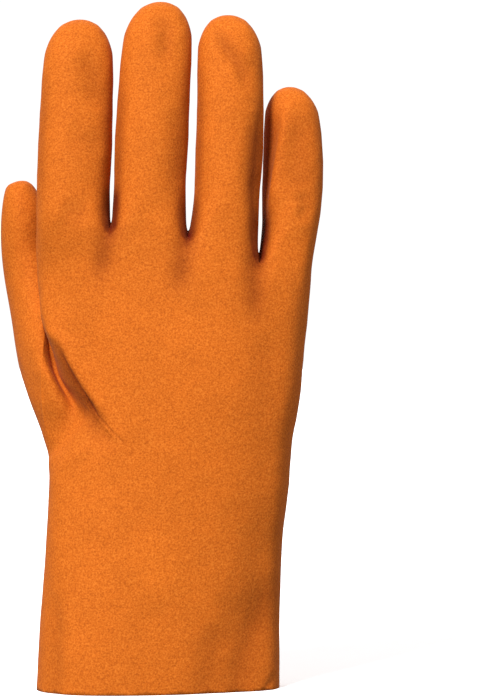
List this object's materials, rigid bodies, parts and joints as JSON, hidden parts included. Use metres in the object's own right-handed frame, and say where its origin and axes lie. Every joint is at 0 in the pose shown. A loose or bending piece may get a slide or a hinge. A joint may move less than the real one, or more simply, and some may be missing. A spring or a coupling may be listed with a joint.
{
  "type": "work glove",
  "caption": "PVC coated work glove for the right hand: one hollow shell with stalls for the fingers and the thumb, and a straight open cuff.",
  "frame": {"origin": "under the middle of the glove, on the plane of the cuff's hem", "axes": "+Z from the hem to the fingertips, -Y the back of the hand, +Y the palm, -X the thumb's side"},
  "size_m": [0.1284, 0.0652, 0.2704],
  "materials": {
    "pvc_coating": "matt, finely grained"
  },
  "bodies": {
    "root": {"glove_shell": "pvc_coating"}
  },
  "joints": []
}
